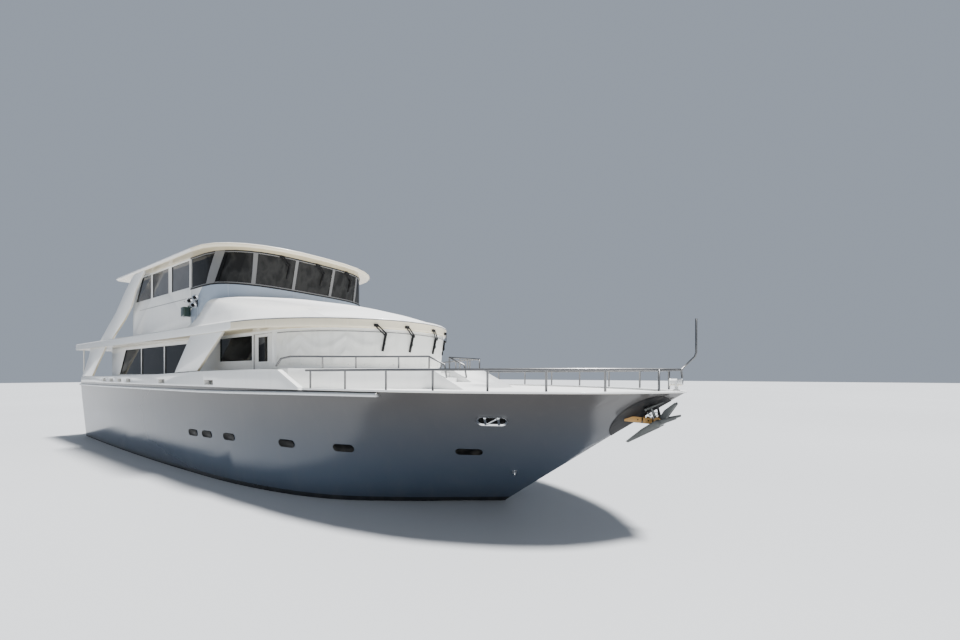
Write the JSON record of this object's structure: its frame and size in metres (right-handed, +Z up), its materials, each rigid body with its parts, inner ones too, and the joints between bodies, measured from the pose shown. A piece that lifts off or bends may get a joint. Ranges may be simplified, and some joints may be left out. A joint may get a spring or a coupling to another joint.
{
  "type": "motor yacht",
  "caption": "Flush-deck motor yacht: raked grey hull, raised foredeck, full deckhouse with a domed brow, rounded pilothouse above and a swim platform astern.",
  "frame": {"origin": "on the waterline, on the centreline, amidships (13.65 m aft of the stem head)", "axes": "+X forward to the bow, +Y to port, +Z up"},
  "size_m": [27.453, 6.7002, 10.26],
  "materials": {
    "hull_paint": "glossy grey, black boot stripe at the waterline",
    "white_paint": "glossy white",
    "tinted_glass": "dark tint, polished",
    "stainless_steel": "polished stainless",
    "teak": "scrubbed planks",
    "cover_fabric": "matt white woven cover",
    "black_plate": "satin black",
    "port_red": "glossy",
    "starboard_green": "glossy",
    "bronze": "machined bronze",
    "antifouling": "matt black"
  },
  "bodies": {
    "hull": {"hull": "hull_paint", "cap_rail": "white_paint", "transom_bulwark": "white_paint", "foredeck_platform": "white_paint", "house_front": "white_paint", "house_bulkhead": "white_paint", "boat_deck": "white_paint", "pilothouse_front": "white_paint", "pilothouse_bulkhead": "white_paint", "pilothouse_roof": "white_paint", "searchlight": "white_paint", "radar_mast": "white_paint", "bulwark_port": "white_paint", "bulwark_starboard": "white_paint", "house_side_port": "white_paint", "house_side_starboard": "white_paint", "pilothouse_side_port": "white_paint", "pilothouse_side_starboard": "white_paint", "forward_wing_port": "white_paint", "forward_wing_starboard": "white_paint", "aft_wing_port": "white_paint", "aft_wing_starboard": "white_paint", "upper_wing_port": "white_paint", "upper_wing_starboard": "white_paint", "house_glass_aft": "tinted_glass", "house_glass_front": "tinted_glass", "pilothouse_glass": "tinted_glass", "house_glass_port": "tinted_glass", "house_glass_starboard": "tinted_glass", "jackstaff": "stainless_steel", "stair_rail": "stainless_steel", "bow_anchor": "stainless_steel", "bow_rail_port": "stainless_steel", "bow_rail_starboard": "stainless_steel", "platform_rail_port": "stainless_steel", "platform_rail_starboard": "stainless_steel", "horns_port": "stainless_steel", "horns_starboard": "stainless_steel", "rub_rail_port": "stainless_steel", "rub_rail_starboard": "stainless_steel", "swim_platform": "teak", "window_cover": "cover_fabric", "anchor_plate": "black_plate", "sidelight_port": "port_red", "sidelight_starboard": "starboard_green", "propeller_shaft_port": "bronze", "propeller_shaft_starboard": "bronze"},
    "side_door_port": {"side_door_port": "white_paint"},
    "side_door_starboard": {"side_door_starboard": "white_paint"},
    "saloon_door": {"saloon_door": "white_paint"},
    "upper_door": {"upper_door": "white_paint"},
    "transom_gate_port": {"transom_gate_port": "white_paint"},
    "transom_gate_starboard": {"transom_gate_starboard": "white_paint"},
    "propeller_port": {"propeller_port": "bronze"},
    "propeller_starboard": {"propeller_starboard": "bronze"},
    "rudder_port": {"rudder_port": "antifouling"},
    "rudder_starboard": {"rudder_starboard": "antifouling"},
    "radar_scanner": {"radar_scanner": "white_paint"}
  },
  "joints": [
    {"name": "side_door_port_hinge", "type": "hinge", "parent": "hull", "child": "side_door_port", "pos_m": [4.172, 2.54, 3.13], "axis": [0, 0, 1], "range_deg": [0, 90]},
    {"name": "side_door_starboard_hinge", "type": "hinge", "parent": "hull", "child": "side_door_starboard", "pos_m": [4.172, -2.54, 3.13], "axis": [0, 0, -1], "range_deg": [0, 90]},
    {"name": "saloon_door_slide", "type": "slide", "parent": "hull", "child": "saloon_door", "axis": [0, 1, 0], "range_m": [0, 0.88]},
    {"name": "upper_door_hinge", "type": "hinge", "parent": "hull", "child": "upper_door", "pos_m": [-5.945, 0.442, 5.475], "axis": [0, 0, -1], "range_deg": [0, 110]},
    {"name": "transom_gate_port_hinge", "type": "hinge", "parent": "hull", "child": "transom_gate_port", "pos_m": [-12.23, 2.422, 2.515], "axis": [0, 0, 1], "range_deg": [0, 90]},
    {"name": "transom_gate_starboard_hinge", "type": "hinge", "parent": "hull", "child": "transom_gate_starboard", "pos_m": [-12.23, -2.422, 2.515], "axis": [0, 0, -1], "range_deg": [0, 90]},
    {"name": "propeller_port_spin", "type": "hinge", "parent": "hull", "child": "propeller_port", "pos_m": [-10, 1.15, -1.38], "axis": [1, 0, 0], "continuous": true},
    {"name": "propeller_starboard_spin", "type": "hinge", "parent": "hull", "child": "propeller_starboard", "pos_m": [-10, -1.15, -1.38], "axis": [1, 0, 0], "continuous": true},
    {"name": "rudder_port_steering", "type": "hinge", "parent": "hull", "child": "rudder_port", "pos_m": [-10.8, 1.15, -1.31], "axis": [0, 0, 1], "range_deg": [-35, 35]},
    {"name": "rudder_starboard_steering", "type": "hinge", "parent": "hull", "child": "rudder_starboard", "pos_m": [-10.8, -1.15, -1.31], "axis": [0, 0, 1], "range_deg": [-35, 35]},
    {"name": "radar_scanner_spin", "type": "hinge", "parent": "hull", "child": "radar_scanner", "pos_m": [-4.17, 0, 8.37], "axis": [0, 0, 1], "continuous": true}
  ]
}
